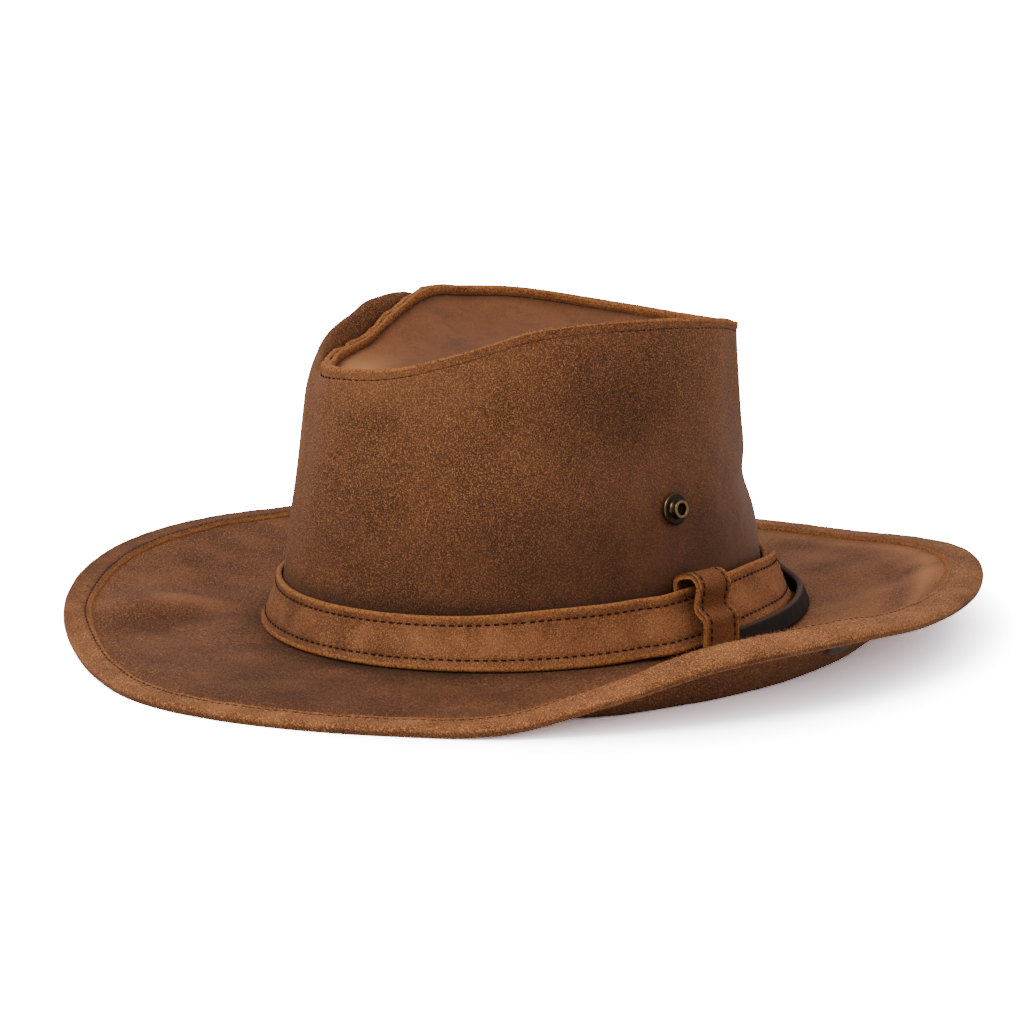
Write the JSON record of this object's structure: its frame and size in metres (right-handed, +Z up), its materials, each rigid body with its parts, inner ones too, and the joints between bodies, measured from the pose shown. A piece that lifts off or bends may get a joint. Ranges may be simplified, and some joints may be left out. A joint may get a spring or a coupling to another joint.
{
  "type": "bush hat",
  "caption": "Brown leather bush hat with a pinched crown, broad curled brim with a stitched hem, hat band in leather keepers, dark strap round the back and a brass snap.",
  "frame": {"origin": "the middle of the hat's footprint, on the floor under the brim", "axes": "+Z up, the front of the hat faces -Y, the wearer's left is +X"},
  "size_m": [0.322, 0.342, 0.1146],
  "materials": {
    "crown_leather": "mottled brown oiled suede",
    "tip_leather": "brown oiled leather, smoother and waxy",
    "brim_leather": "brown oiled leather with waxy folds",
    "hem_leather": "lighter speckled suede with a raw edge",
    "band_leather": "pinkish brown suede with raw edges",
    "keeper_leather": "brown suede loop",
    "strap_leather": "near black, burnished edges",
    "brass": "antique brass",
    "dark_metal": "dull grey"
  },
  "bodies": {
    "root": {"crown_side": "crown_leather", "crown_tip": "tip_leather", "brim": "brim_leather", "brim_hem": "hem_leather", "hat_band": "band_leather", "keeper_left": "keeper_leather", "keeper_right": "keeper_leather", "strap": "strap_leather", "snap_stud": "brass", "snap_post": "dark_metal", "snap_socket": "brass", "snap_cap": "dark_metal"}
  },
  "joints": []
}
